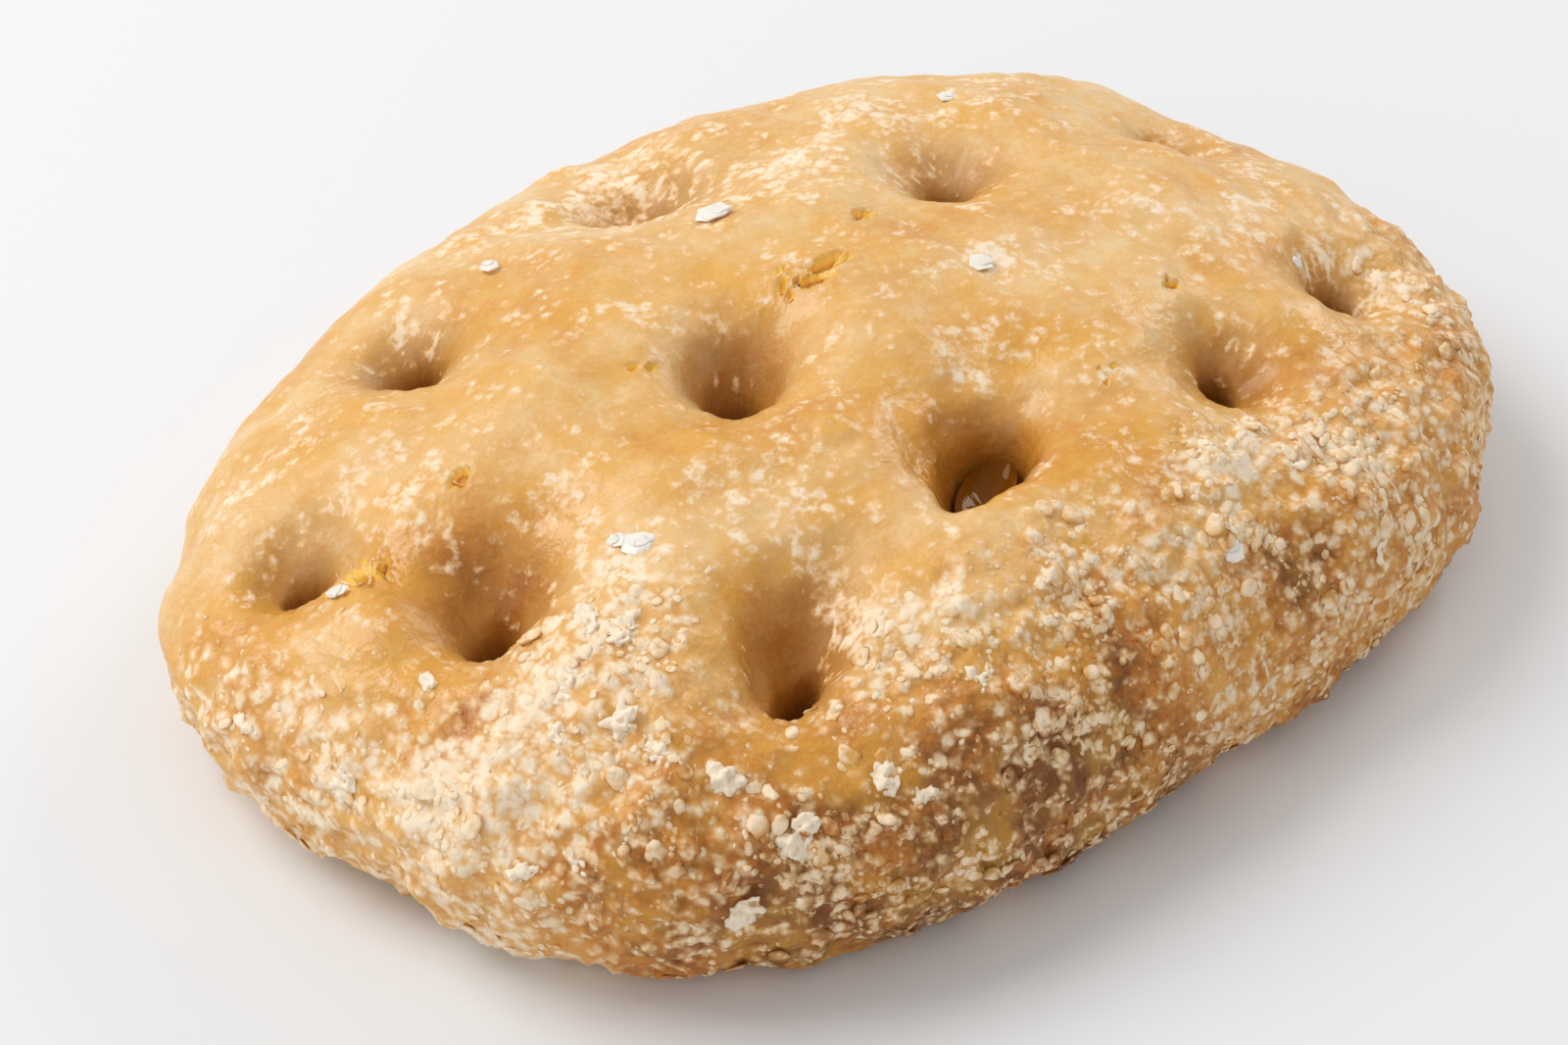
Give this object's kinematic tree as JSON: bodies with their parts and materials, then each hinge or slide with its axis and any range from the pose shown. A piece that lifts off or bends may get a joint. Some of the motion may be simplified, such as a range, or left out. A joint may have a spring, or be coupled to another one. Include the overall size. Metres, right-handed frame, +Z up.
{
  "type": "focaccia",
  "caption": "Small oval flat bread loaf with deep finger dimples, a flour-dusted golden crust, salt flakes and a little oil standing in one dimple.",
  "frame": {"origin": "middle of the loaf's box, on the flat base it rests on", "axes": "+X along the length of the loaf, +Y across it, +Z up"},
  "size_m": [0.1717, 0.132, 0.0406],
  "materials": {
    "crust": "golden baked crust, satin where oiled, dusty where floured",
    "oil": "clear amber olive oil"
  },
  "bodies": {
    "root": {"loaf": "crust", "oil_pool": "oil"}
  },
  "joints": []
}
